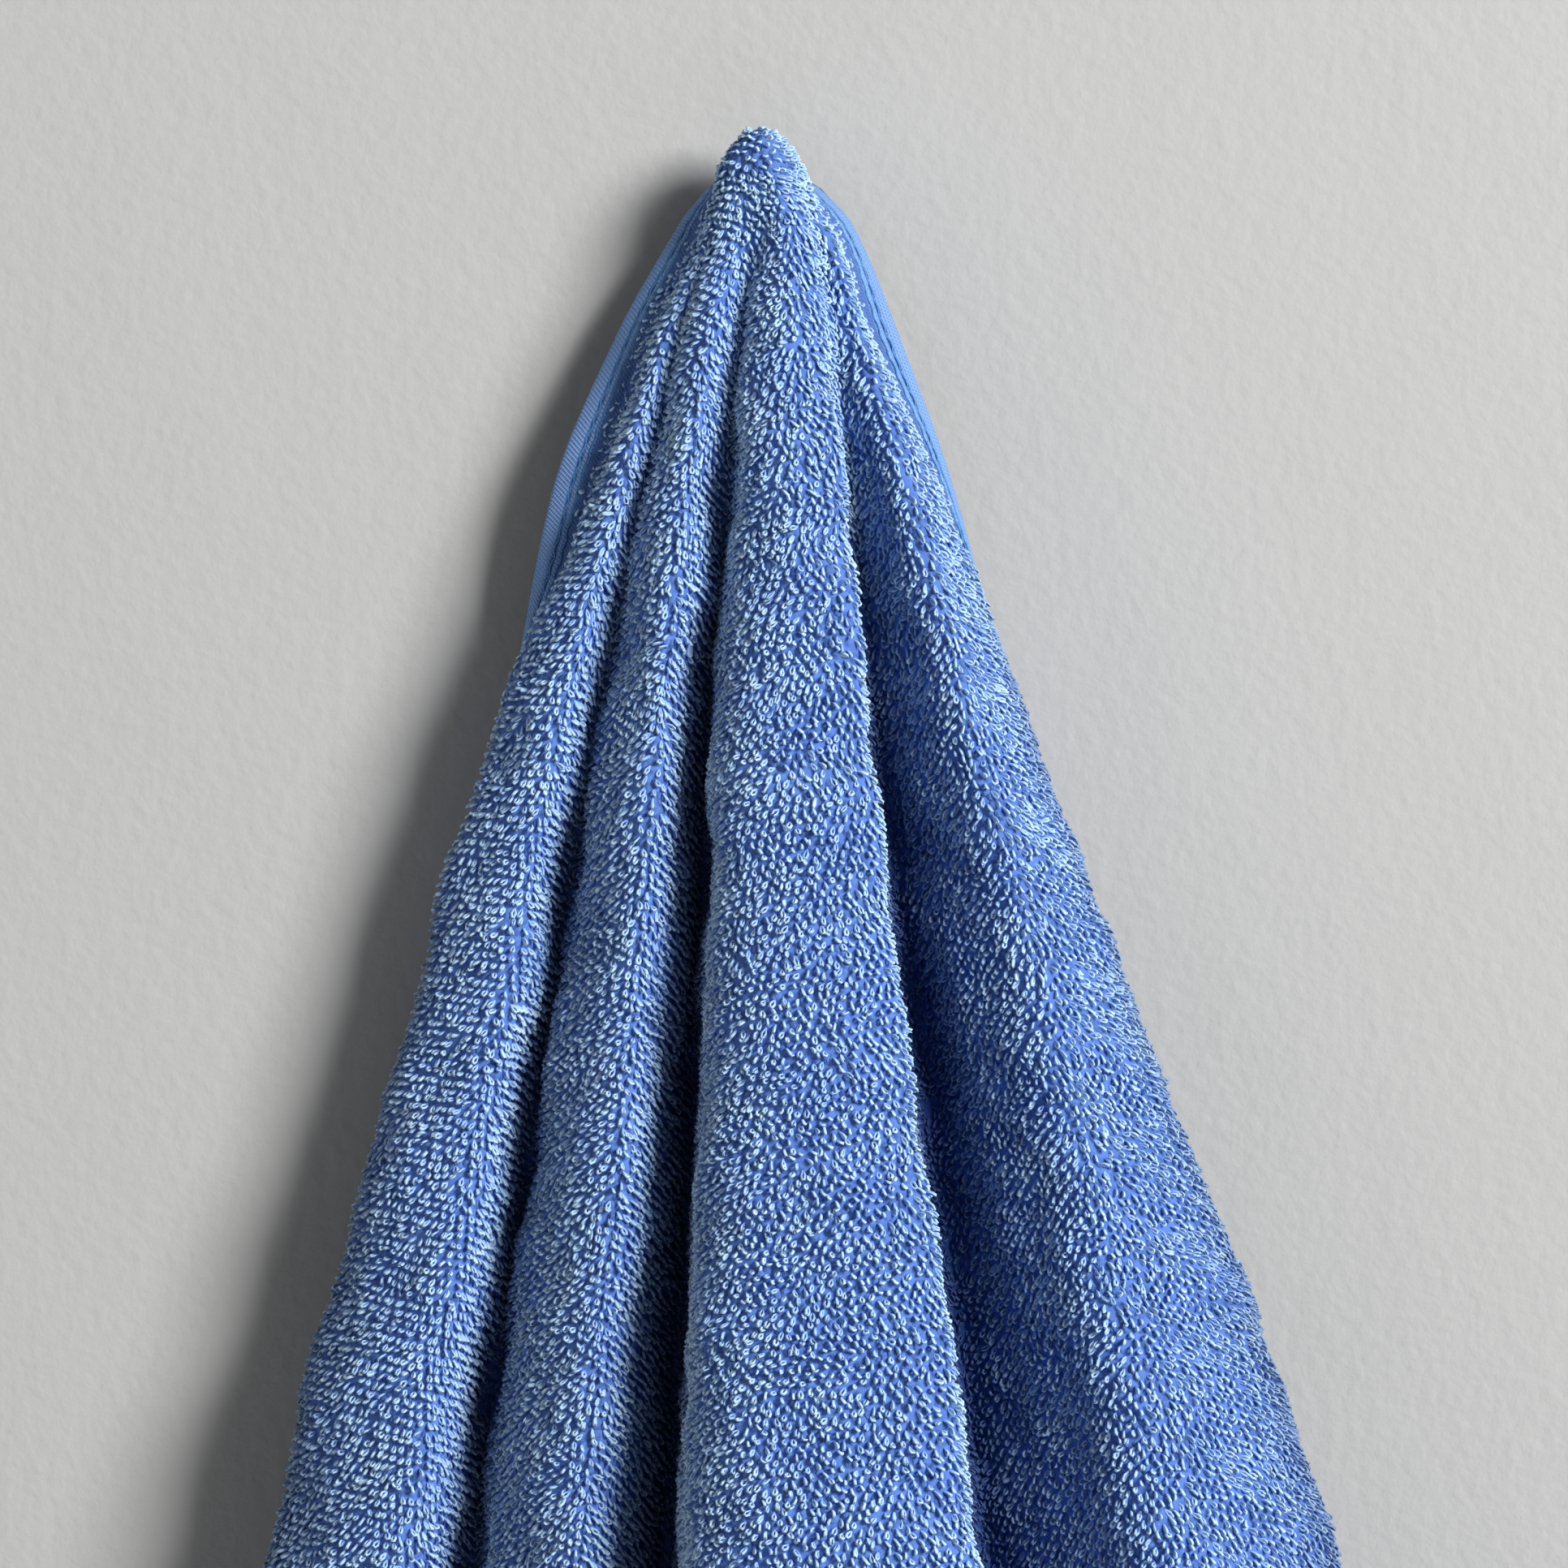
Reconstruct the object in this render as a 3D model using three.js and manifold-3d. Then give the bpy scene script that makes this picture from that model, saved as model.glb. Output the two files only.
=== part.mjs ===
import Module from "manifold-3d";
import * as THREE from "three";
import { mergeVertices } from "three/addons/utils/BufferGeometryUtils.js";

// Hand towel hung by one corner from a small screw-on hook, in millimetres. +Z is up, the back of the
// hook's plate is the plane y = 0 and the towel hangs in front of it, towards -Y. The origin is the
// middle of the plate's back.

// The towel laid flat: a rectangle, caught on the hook a little way in from one corner
const towelCut = {
  longSide: 700,
  shortSide: 500,
  thickness: 2.2,
  catchInset: 14,
};

// The hook: a round rod that leaves a small plate, bends up and ends in a rounded tip. The tip stays
// seatDrop under the cloth, so that the rounded cap of cloth clears it all round.
const hookSizes = {
  rodRadius: 2.5,
  tipOut: 13.5,
  bendRadius: 7,
  plateWidth: 24,
  plateHeight: 36,
  plateThickness: 3,
  plateCorner: 5,
  plateBevel: 0.6,
  rodSides: 20,
  plateGap: 0.3,
  seatDrop: 0.8,
};

// Height of the cloth's highest point above the middle of the plate
const hangHeight = 48;

// How far below the highest point each section of the drape is taken
const levels = [6, 12, 18, 31, 56, 93, 143, 222, 460, 820];

// One row for each fold line, from the left hem to the right hem. angle is its direction in the flat
// cloth, in degrees from the line that halves the corner. x is sideways from the hook and out is the
// distance in front of y = 0, both at each of the levels.
const foldLines = [
  {
    name: "leftHem",
    angle: -45,
    x: [-3.9, -10.2, -14.2, -21.5, -32, -37.5, -41, -50, -62, -60],
    out: [5.8, 6, 7.5, 9, 12, 8, 7, 6, 7, 8],
  },
  {
    name: "leftHemSeam",
    angle: -44.5,
    x: [-5.5, -7.6, -9.2, -15.4, -24.8, -40, -48, -57.5, -70, -68],
    out: [8.4, 12.5, 13.7, 14.2, 14.6, 13.4, 10, 8.5, 8, 9],
  },
  {
    name: "leftSide",
    angle: -42,
    x: [-5.9, -7.2, -8.8, -14.9, -24.4, -40.5, -54.8, -74.9, -106, -104],
    out: [11, 13.8, 15, 16.4, 15.8, 15.8, 15, 20, 36, 36],
  },
  {
    name: "firstShoulder",
    angle: -39.5,
    x: [-5.9, -7.1, -8.6, -14.6, -23.8, -38, -51.5, -69.5, -100, -96],
    out: [12.2, 14.5, 16, 18, 18.6, 20, 22, 31, 62, 62],
  },
  {
    name: "firstRidge",
    angle: -35.5,
    x: [-5.8, -6.9, -8.2, -13.9, -21.3, -31, -40, -54, -80, -76],
    out: [13.5, 15.2, 17, 19.6, 21.6, 25, 27.5, 40, 78, 76],
  },
  {
    name: "firstCrease",
    angle: -30,
    x: [-5.5, -6.3, -7.2, -11.3, -17.5, -25, -33, -44, -63, -59],
    out: [15.5, 16.8, 18.2, 18.8, 18.2, 16.5, 16, 24, 47, 48],
  },
  {
    name: "secondShoulder",
    angle: -24.5,
    x: [-5.2, -5.7, -6.4, -10.2, -15.6, -22, -29.5, -39, -54, -49],
    out: [16.8, 18.1, 19.4, 21.4, 22.8, 24.4, 28, 40, 78, 76],
  },
  {
    name: "secondRidge",
    angle: -20,
    x: [-4.6, -4.8, -5.2, -7.5, -10.9, -15.3, -19.5, -27, -38, -34],
    out: [18, 19.4, 20.5, 24, 27.2, 32, 37, 52, 96, 92],
  },
  {
    name: "secondCrease",
    angle: -13,
    x: [-1.5, -1.1, -0.6, -2.4, -4.6, -7.6, -9.5, -13.5, -19, -15],
    out: [20.5, 20.6, 20.6, 20.5, 19.8, 19, 21, 31, 58, 56],
  },
  {
    name: "frontShoulder",
    angle: -4,
    x: [0.5, 1.2, 1.8, -0.2, -1.6, -4, -5.3, -8, -6, -1],
    out: [21, 21.5, 22.2, 24.8, 29.2, 36.2, 44.5, 66, 104, 100],
  },
  {
    name: "frontRidge",
    angle: 2,
    x: [2.5, 3.6, 4.5, 4.5, 4.5, 4.5, 7, 9, 17, 18],
    out: [21, 22.6, 24, 27.4, 33, 41, 50, 74, 114, 109],
  },
  {
    name: "frontEdge",
    angle: 8,
    x: [4.8, 6.5, 8, 9.3, 12.3, 16, 22, 32, 46, 45],
    out: [19, 20.4, 21.5, 24.6, 31, 38.6, 47.4, 70, 110, 105],
  },
  {
    name: "undercut",
    angle: 11.5,
    x: [5.4, 7.1, 8.6, 9.9, 11.8, 14.8, 20.4, 29.5, 42, 42],
    out: [18, 19.2, 20, 22.4, 26.2, 31.6, 39.5, 59, 90, 86],
  },
  {
    name: "trough",
    angle: 22,
    x: [5.9, 7.7, 9.7, 11.9, 14.4, 18.2, 24.5, 35, 55, 55],
    out: [16.5, 17.8, 18.6, 19.5, 18, 15.5, 15.5, 27, 44, 46],
  },
  {
    name: "lastShoulder",
    angle: 27.5,
    x: [6.2, 8.4, 10.8, 13.6, 18.3, 25.5, 35.5, 48.5, 70, 69],
    out: [15.5, 17.3, 18.6, 20.3, 21.6, 23, 28, 39, 60, 58],
  },
  {
    name: "lastRidge",
    angle: 32.5,
    x: [6.3, 8.9, 11.7, 15.2, 22.5, 32.5, 46, 62, 94, 90],
    out: [14.5, 16.4, 18.2, 20.2, 26.4, 30.5, 36.5, 52, 88, 84],
  },
  {
    name: "rightSide",
    angle: 39.5,
    x: [6.6, 8.6, 11.8, 16.2, 27.2, 41.3, 59.6, 88, 128, 120],
    out: [12, 14.8, 16.2, 17, 20.8, 19, 22, 28, 44, 42],
  },
  {
    name: "rightHemSeam",
    angle: 44.5,
    x: [6.2, 8.8, 11.9, 15.8, 27.3, 41, 50, 70, 98, 94],
    out: [8.6, 12.8, 14, 13.9, 17, 13.4, 9.5, 9, 9, 10],
  },
  {
    name: "rightHem",
    angle: 45,
    x: [4.4, 12.3, 15.9, 21.2, 29.8, 38, 43, 62.5, 90, 86],
    out: [5.8, 5.8, 7, 8, 9.5, 7, 6.5, 6.5, 7, 8],
  },
];

// The rounded cap over the hook's tip: its middle, the level where it becomes the first section, and
// the length of cloth from the top down to there
const cap = { x: 0.2, out: 13.5, depth: levels[0], clothLength: 9 };

// The corner that hangs behind the hook, from the point where both hems start
const cornerFlap = { startLevel: 9, tipLevel: 17, tipOut: 4.6 };

// How finely the sheet is divided
const columnsPerFold = 3;
const capLevels = [0.25, 1, 2.2, 4, 6, cornerFlap.startLevel];
const upperLevels = [12, 15, 18, 22, 26, 31, 38, 46, 56, 67, 79, 93, 108, 125, 143, 162, 182, 202, 222];
const lowerRows = 10;
const flapColumns = 6;

const degrees = Math.PI / 180;

// Slope of a row of values at one of its places, from its neighbours on both sides
function slopeAt(places, values, index) {
  const before = Math.max(index - 1, 0);
  const after = Math.min(index + 1, places.length - 1);
  return (values[after] - values[before]) / (places[after] - places[before]);
}

// Smooth value between the places of a table
function smoothValue(places, values, place) {
  const last = places.length - 1;
  let index = 0;
  while (index < last - 1 && place > places[index + 1]) {
    index += 1;
  }
  const width = places[index + 1] - places[index];
  const t = (place - places[index]) / width;
  const startSlope = slopeAt(places, values, index) * width;
  const endSlope = slopeAt(places, values, index + 1) * width;
  const rise = values[index + 1] - values[index];
  const bend = 3 * rise - 2 * startSlope - endSlope;
  const twist = startSlope + endSlope - 2 * rise;
  return values[index] + startSlope * t + bend * t * t + twist * t * t * t;
}

// A fold line's place at a level: on the cap it shrinks to the highest point
function foldPoint(line, level) {
  if (level < cap.depth) {
    const spread = Math.sqrt(level / cap.depth);
    return {
      x: cap.x + (line.x[0] - cap.x) * spread,
      out: cap.out + (line.out[0] - cap.out) * spread,
    };
  }
  return { x: smoothValue(levels, line.x, level), out: smoothValue(levels, line.out, level) };
}

// The section at one level, as evenly split smooth spans between the fold lines
function sectionPoints(level, spans) {
  const points = foldLines.map((line) => foldPoint(line, level));
  const curve = new THREE.CatmullRomCurve3(
    points.map((point) => new THREE.Vector3(point.x, -point.out, hangHeight - level)),
    false,
    "centripetal",
  );
  return curve.getPoints(spans);
}

// Length of cloth from the highest point to its far edges, in a direction of the flat cloth
function reachAt(angle) {
  const fromLongSide = (45 - angle) * degrees;
  const alongLong = (towelCut.longSide - towelCut.catchInset) / Math.max(Math.cos(fromLongSide), 1e-6);
  const alongShort = (towelCut.shortSide - towelCut.catchInset) / Math.max(Math.sin(fromLongSide), 1e-6);
  return Math.min(alongLong, alongShort);
}

// Level at which a column of the sheet has used up its length of cloth
function endLevel(column, spans) {
  const along = column / columnsPerFold;
  const lower = Math.min(Math.floor(along), foldLines.length - 2);
  const share = along - lower;
  const angle = foldLines[lower].angle * (1 - share) + foldLines[lower + 1].angle * share;
  const reach = reachAt(angle);
  const step = 10;
  let level = cap.depth;
  let used = cap.clothLength;
  let here = sectionPoints(level, spans)[column];
  while (used < reach) {
    const next = sectionPoints(level + step, spans)[column];
    used += here.distanceTo(next);
    level += step;
    here = next;
  }
  return level - (used - reach);
}

// Rows of points on the middle of the cloth, from the highest point to the far edges
function mainRows(spans) {
  const rows = [...capLevels, ...upperLevels].map((level) => sectionPoints(level, spans));
  const startLevel = upperLevels[upperLevels.length - 1];
  const ends = [];
  for (let column = 0; column <= spans; column += 1) {
    ends.push(endLevel(column, spans));
  }
  for (let row = 1; row <= lowerRows; row += 1) {
    const share = row / lowerRows;
    rows.push(ends.map((end, column) => {
      const level = startLevel + (end - startLevel) * share;
      return sectionPoints(level, spans)[column];
    }));
  }
  return rows;
}

// Points of the corner flap between the right and left hem starts, one row for each cap level
function flapRows(rows, spans) {
  const flap = [];
  for (let row = 0; row < capLevels.length; row += 1) {
    const right = rows[row][spans];
    const left = rows[row][0];
    const points = [];
    for (let step = 1; step < flapColumns; step += 1) {
      const across = step / flapColumns;
      const turn = 45 * degrees * (1 - Math.abs(2 * across - 1));
      const longer = (1 / Math.cos(turn) - 1) / (Math.SQRT2 - 1);
      const drop = cornerFlap.tipLevel / cornerFlap.startLevel - 1;
      const level = capLevels[row] * (1 + drop * longer);
      const point = right.clone().lerp(left, across);
      const back = Math.sqrt(Math.min(level / cap.depth, 1));
      point.z = hangHeight - level;
      point.y += (-(cap.out + (cornerFlap.tipOut - cap.out) * back) - point.y) * longer;
      points.push(point);
    }
    flap.push(points);
  }
  return flap;
}

// The sheet as one surface: its points, its triangles and the loop of points round its edge
function clothSurface() {
  const spans = (foldLines.length - 1) * columnsPerFold;
  const rows = mainRows(spans);
  const flap = flapRows(rows, spans);
  const points = [new THREE.Vector3(cap.x, -cap.out, hangHeight)];
  const ring = rows.map((row, index) => {
    const start = points.length;
    const whole = index < flap.length ? [...row, ...flap[index]] : row;
    points.push(...whole);
    return whole.map((_, place) => start + place);
  });

  const triangles = [];
  const closedRows = flap.length;
  for (let place = 0; place < ring[0].length; place += 1) {
    triangles.push([0, ring[0][place], ring[0][(place + 1) % ring[0].length]]);
  }
  for (let row = 0; row + 1 < ring.length; row += 1) {
    const closed = row + 1 < closedRows;
    const count = closed ? ring[row].length : spans;
    for (let place = 0; place < count; place += 1) {
      const next = closed ? (place + 1) % ring[row].length : place + 1;
      const corners = [ring[row][place], ring[row][next], ring[row + 1][next], ring[row + 1][place]];
      triangles.push([corners[0], corners[3], corners[2]]);
      triangles.push([corners[0], corners[2], corners[1]]);
    }
  }

  const lastRow = ring[ring.length - 1];
  const lastClosed = ring[closedRows - 1];
  const edge = [
    ...ring.slice(closedRows, -1).map((row) => row[0]),
    ...lastRow,
    ...ring.slice(closedRows, -1).map((row) => row[spans]).reverse(),
    ...lastClosed.slice(spans),
    lastClosed[0],
  ];
  return { points, triangles, edge };
}

// Outward direction of the surface at each point
function surfaceNormals(points, triangles) {
  const normals = points.map(() => new THREE.Vector3());
  for (const [a, b, c] of triangles) {
    const side = points[b].clone().sub(points[a]);
    const face = side.cross(points[c].clone().sub(points[a]));
    normals[a].add(face);
    normals[b].add(face);
    normals[c].add(face);
  }
  return normals.map((normal) => normal.normalize());
}

// Half the thickness at each point, less where a tight crease would press the cloth into itself
function halfThicknesses({ points, triangles }, normals, thickness) {
  const halves = points.map(() => thickness / 2);
  const leastShare = 0.45;
  const ease = 0.88;
  const passes = 16;
  for (let pass = 0; pass < passes; pass += 1) {
    for (const corners of triangles) {
      for (let corner = 0; corner < 3; corner += 1) {
        const here = corners[corner];
        const next = corners[(corner + 1) % 3];
        const span = points[next].clone().sub(points[here]);
        const spread = normals[next].clone().multiplyScalar(halves[next]);
        spread.addScaledVector(normals[here], -halves[here]);
        if (Math.abs(spread.dot(span)) > (1 - leastShare) * span.lengthSq()) {
          halves[here] *= ease;
          halves[next] *= ease;
        }
      }
    }
  }
  return halves;
}

// A closed solid from the middle surface, half the thickness to each side
function thickSheet(surface, thickness) {
  const { points, triangles, edge } = surface;
  const normals = surfaceNormals(points, triangles);
  const halves = halfThicknesses(surface, normals, thickness);
  const positions = [];
  for (const side of [1, -1]) {
    points.forEach((point, index) => {
      const moved = point.clone().addScaledVector(normals[index], side * halves[index]);
      positions.push(moved.x, moved.y, moved.z);
    });
  }
  const shift = points.length;
  const faces = [];
  for (const [a, b, c] of triangles) {
    faces.push(a, b, c);
    faces.push(a + shift, c + shift, b + shift);
  }
  edge.forEach((here, index) => {
    const next = edge[(index + 1) % edge.length];
    faces.push(here, here + shift, next + shift);
    faces.push(here, next + shift, next);
  });
  const geometry = new THREE.BufferGeometry();
  geometry.setAttribute("position", new THREE.Float32BufferAttribute(positions, 3));
  geometry.setIndex(faces);
  return geometry;
}

function makeTowel() {
  const material = new THREE.MeshStandardMaterial({ color: 0x3f6fb8, roughness: 0.95, metalness: 0 });
  const towel = new THREE.Mesh(thickSheet(clothSurface(), towelCut.thickness), material);
  towel.name = "towel";
  return towel;
}

const wasm = await Module();
wasm.setup();

// A solid that can be joined, from a closed geometry
function toSolid(geometry) {
  const bare = geometry.clone();
  bare.deleteAttribute("normal");
  bare.deleteAttribute("uv");
  const merged = mergeVertices(bare, 1e-4);
  return new wasm.Manifold(new wasm.Mesh({
    numProp: 3,
    vertProperties: new Float32Array(merged.attributes.position.array),
    triVerts: new Uint32Array(merged.index.array),
  }));
}

// A geometry from a joined solid
function toGeometry(solid) {
  const mesh = solid.getMesh();
  const geometry = new THREE.BufferGeometry();
  geometry.setAttribute("position", new THREE.BufferAttribute(mesh.vertProperties, 3));
  geometry.setIndex(new THREE.BufferAttribute(mesh.triVerts, 1));
  return geometry;
}

// The rod's run out from the plate and its bend upwards
function runAndBend() {
  const { rodRadius, tipOut, bendRadius, plateThickness, rodSides } = hookSizes;
  const arcHandle = bendRadius * 0.5523;
  const bendStart = new THREE.Vector3(0, -(tipOut - bendRadius), 0);
  const bendEnd = new THREE.Vector3(0, -tipOut, bendRadius);
  const path = new THREE.CurvePath();
  path.add(new THREE.LineCurve3(new THREE.Vector3(0, -(plateThickness + hookSizes.plateGap), 0), bendStart));
  path.add(new THREE.CubicBezierCurve3(
    bendStart,
    new THREE.Vector3(0, -(tipOut - bendRadius + arcHandle), 0),
    new THREE.Vector3(0, -tipOut, bendRadius - arcHandle),
    bendEnd,
  ));
  path.add(new THREE.LineCurve3(bendEnd, new THREE.Vector3(0, -tipOut, bendRadius + rodRadius)));
  const section = new THREE.Shape();
  section.absarc(0, 0, rodRadius, 0, Math.PI * 2);
  return new THREE.ExtrudeGeometry(section, { steps: 22, curveSegments: rodSides / 2, extrudePath: path });
}

// The rod's rise, with its rounded tip under the cloth's highest point
function riseAndTip() {
  const { rodRadius, tipOut, bendRadius, rodSides } = hookSizes;
  const top = hangHeight - towelCut.thickness / 2 - hookSizes.seatDrop;
  const profile = [new THREE.Vector2(0, bendRadius), new THREE.Vector2(rodRadius, bendRadius)];
  const tipSteps = 6;
  for (let step = 0; step <= tipSteps; step += 1) {
    const turn = (step / tipSteps) * 90 * degrees;
    const radius = step === tipSteps ? 0 : rodRadius * Math.cos(turn);
    profile.push(new THREE.Vector2(radius, top - rodRadius + rodRadius * Math.sin(turn)));
  }
  const rise = new THREE.LatheGeometry(profile, rodSides);
  rise.rotateX(90 * degrees);
  rise.translate(0, -tipOut, 0);
  return rise;
}

function makeRod() {
  const solid = toSolid(runAndBend()).add(toSolid(riseAndTip()));
  const material = new THREE.MeshStandardMaterial({ color: 0xb9bbbd, roughness: 0.35, metalness: 1 });
  const rod = new THREE.Mesh(toGeometry(solid), material);
  rod.name = "hook_rod";
  return rod;
}

// A rounded rectangle with eased edges, its back on y = 0
function makePlate() {
  const { plateWidth, plateHeight, plateThickness, plateCorner, plateBevel } = hookSizes;
  const halfWidth = plateWidth / 2 - plateBevel;
  const halfHeight = plateHeight / 2 - plateBevel;
  const corner = plateCorner - plateBevel;
  const outline = new THREE.Shape();
  outline.absarc(halfWidth - corner, halfHeight - corner, corner, 0, 90 * degrees);
  outline.absarc(-halfWidth + corner, halfHeight - corner, corner, 90 * degrees, 180 * degrees);
  outline.absarc(-halfWidth + corner, -halfHeight + corner, corner, 180 * degrees, 270 * degrees);
  outline.absarc(halfWidth - corner, -halfHeight + corner, corner, 270 * degrees, 360 * degrees);
  const geometry = new THREE.ExtrudeGeometry(outline, {
    depth: plateThickness - 2 * plateBevel,
    curveSegments: 6,
    bevelSize: plateBevel,
    bevelThickness: plateBevel,
    bevelSegments: 2,
  });
  geometry.rotateX(90 * degrees);
  geometry.translate(0, -plateBevel, 0);
  const material = new THREE.MeshStandardMaterial({ color: 0xb9bbbd, roughness: 0.4, metalness: 1 });
  const plate = new THREE.Mesh(geometry, material);
  plate.name = "wall_plate";
  return plate;
}

const handTowelOnHook = new THREE.Group();
handTowelOnHook.add(makeTowel());
handTowelOnHook.add(makeRod());
handTowelOnHook.add(makePlate());

export default handTowelOnHook;
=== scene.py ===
import math
import time

import bpy
import numpy as np
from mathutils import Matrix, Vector


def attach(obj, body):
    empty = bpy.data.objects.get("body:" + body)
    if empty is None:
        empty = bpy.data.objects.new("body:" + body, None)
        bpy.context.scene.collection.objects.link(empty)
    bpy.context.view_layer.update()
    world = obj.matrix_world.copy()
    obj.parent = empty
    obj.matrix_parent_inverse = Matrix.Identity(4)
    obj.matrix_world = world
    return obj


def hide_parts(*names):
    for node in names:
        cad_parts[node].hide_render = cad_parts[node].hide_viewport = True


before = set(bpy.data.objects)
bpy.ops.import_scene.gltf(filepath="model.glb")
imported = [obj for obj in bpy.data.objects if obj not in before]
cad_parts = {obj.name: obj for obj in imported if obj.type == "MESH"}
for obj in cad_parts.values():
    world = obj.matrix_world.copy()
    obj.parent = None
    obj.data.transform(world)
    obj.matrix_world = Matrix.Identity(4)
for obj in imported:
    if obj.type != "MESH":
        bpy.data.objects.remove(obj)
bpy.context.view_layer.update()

# Hand towel hung by one corner from a small hook. Lengths of the towel are in millimetres until a mesh
# is made, and those of the stage and of bumps are in metres.
mm = 0.001
started = time.time()
random = np.random.default_rng(7)


def report(stage):
    print(f"{stage}: {time.time() - started:.1f} s")


# The drape, as in the part's source. A fold is its angle in the flat cloth, in degrees from the line
# that halves the corner, then its x and its distance out from y = 0 at each of the levels.
drape = {
    "levels": [6, 12, 18, 31, 56, 93, 143, 222, 460, 820],
    "hangHeight": 48,
    "longSide": 700,
    "shortSide": 500,
    "catchInset": 14,
    "capX": 0.2,
    "capOut": 13.5,
    "capLength": 9,
    "flapStart": 9,
    "flapTip": 17,
    "flapTipOut": 4.6,
    "folds": {
        "leftHem": (
            -45,
            [-3.9, -10.2, -14.2, -21.5, -32, -37.5, -41, -50, -62, -60],
            [5.8, 6, 7.5, 9, 12, 8, 7, 6, 7, 8],
        ),
        "leftHemSeam": (
            -44.5,
            [-5.5, -7.6, -9.2, -15.4, -24.8, -40, -48, -57.5, -70, -68],
            [8.4, 12.5, 13.7, 14.2, 14.6, 13.4, 10, 8.5, 8, 9],
        ),
        "leftSide": (
            -42,
            [-5.9, -7.2, -8.8, -14.9, -24.4, -40.5, -54.8, -74.9, -106, -104],
            [11, 13.8, 15, 16.4, 15.8, 15.8, 15, 20, 36, 36],
        ),
        "firstShoulder": (
            -39.5,
            [-5.9, -7.1, -8.6, -14.6, -23.8, -38, -51.5, -69.5, -100, -96],
            [12.2, 14.5, 16, 18, 18.6, 20, 22, 31, 62, 62],
        ),
        "firstRidge": (
            -35.5,
            [-5.8, -6.9, -8.2, -13.9, -21.3, -31, -40, -54, -80, -76],
            [13.5, 15.2, 17, 19.6, 21.6, 25, 27.5, 40, 78, 76],
        ),
        "firstCrease": (
            -30,
            [-5.5, -6.3, -7.2, -11.3, -17.5, -25, -33, -44, -63, -59],
            [15.5, 16.8, 18.2, 18.8, 18.2, 16.5, 16, 24, 47, 48],
        ),
        "secondShoulder": (
            -24.5,
            [-5.2, -5.7, -6.4, -10.2, -15.6, -22, -29.5, -39, -54, -49],
            [16.8, 18.1, 19.4, 21.4, 22.8, 24.4, 28, 40, 78, 76],
        ),
        "secondRidge": (
            -20,
            [-4.6, -4.8, -5.2, -7.5, -10.9, -15.3, -19.5, -27, -38, -34],
            [18, 19.4, 20.5, 24, 27.2, 32, 37, 52, 96, 92],
        ),
        "secondCrease": (
            -13,
            [-1.5, -1.1, -0.6, -2.4, -4.6, -7.6, -9.5, -13.5, -19, -15],
            [20.5, 20.6, 20.6, 20.5, 19.8, 19, 21, 31, 58, 56],
        ),
        "frontShoulder": (
            -4,
            [0.5, 1.2, 1.8, -0.2, -1.6, -4, -5.3, -8, -6, -1],
            [21, 21.5, 22.2, 24.8, 29.2, 36.2, 44.5, 66, 104, 100],
        ),
        "frontRidge": (
            2,
            [2.5, 3.6, 4.5, 4.5, 4.5, 4.5, 7, 9, 17, 18],
            [21, 22.6, 24, 27.4, 33, 41, 50, 74, 114, 109],
        ),
        "frontEdge": (
            8,
            [4.8, 6.5, 8, 9.3, 12.3, 16, 22, 32, 46, 45],
            [19, 20.4, 21.5, 24.6, 31, 38.6, 47.4, 70, 110, 105],
        ),
        "undercut": (
            11.5,
            [5.4, 7.1, 8.6, 9.9, 11.8, 14.8, 20.4, 29.5, 42, 42],
            [18, 19.2, 20, 22.4, 26.2, 31.6, 39.5, 59, 90, 86],
        ),
        "trough": (
            22,
            [5.9, 7.7, 9.7, 11.9, 14.4, 18.2, 24.5, 35, 55, 55],
            [16.5, 17.8, 18.6, 19.5, 18, 15.5, 15.5, 27, 44, 46],
        ),
        "lastShoulder": (
            27.5,
            [6.2, 8.4, 10.8, 13.6, 18.3, 25.5, 35.5, 48.5, 70, 69],
            [15.5, 17.3, 18.6, 20.3, 21.6, 23, 28, 39, 60, 58],
        ),
        "lastRidge": (
            32.5,
            [6.3, 8.9, 11.7, 15.2, 22.5, 32.5, 46, 62, 94, 90],
            [14.5, 16.4, 18.2, 20.2, 26.4, 30.5, 36.5, 52, 88, 84],
        ),
        "rightSide": (
            39.5,
            [6.6, 8.6, 11.8, 16.2, 27.2, 41.3, 59.6, 88, 128, 120],
            [12, 14.8, 16.2, 17, 20.8, 19, 22, 28, 44, 42],
        ),
        "rightHemSeam": (
            44.5,
            [6.2, 8.8, 11.9, 15.8, 27.3, 41, 50, 70, 98, 94],
            [8.6, 12.8, 14, 13.9, 17, 13.4, 9.5, 9, 9, 10],
        ),
        "rightHem": (
            45,
            [4.4, 12.3, 15.9, 21.2, 29.8, 38, 43, 62.5, 90, 86],
            [5.8, 5.8, 7, 8, 9.5, 7, 6.5, 6.5, 7, 8],
        ),
    },
}

foldAngles, foldX, foldOut = (np.array(part, float) for part in zip(*drape["folds"].values()))
levels = np.array(drape["levels"], float)
foldCount = len(foldAngles)


def slopesOf(values):
    before = np.maximum(np.arange(len(levels)) - 1, 0)
    after = np.minimum(np.arange(len(levels)) + 1, len(levels) - 1)
    return (values[:, after] - values[:, before]) / (levels[after] - levels[before])


slopeX = slopesOf(foldX)
slopeOut = slopesOf(foldOut)


def alongLevels(values, slopes, fold, level):
    index = np.clip(np.searchsorted(levels, level, side="right") - 1, 0, len(levels) - 2)
    width = levels[index + 1] - levels[index]
    t = (level - levels[index]) / width
    start, rise = values[fold, index], values[fold, index + 1] - values[fold, index]
    leave, arrive = slopes[fold, index] * width, slopes[fold, index + 1] * width
    bend = 3 * rise - 2 * leave - arrive
    return start + leave * t + bend * t**2 + (leave + arrive - 2 * rise) * t**3


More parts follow.
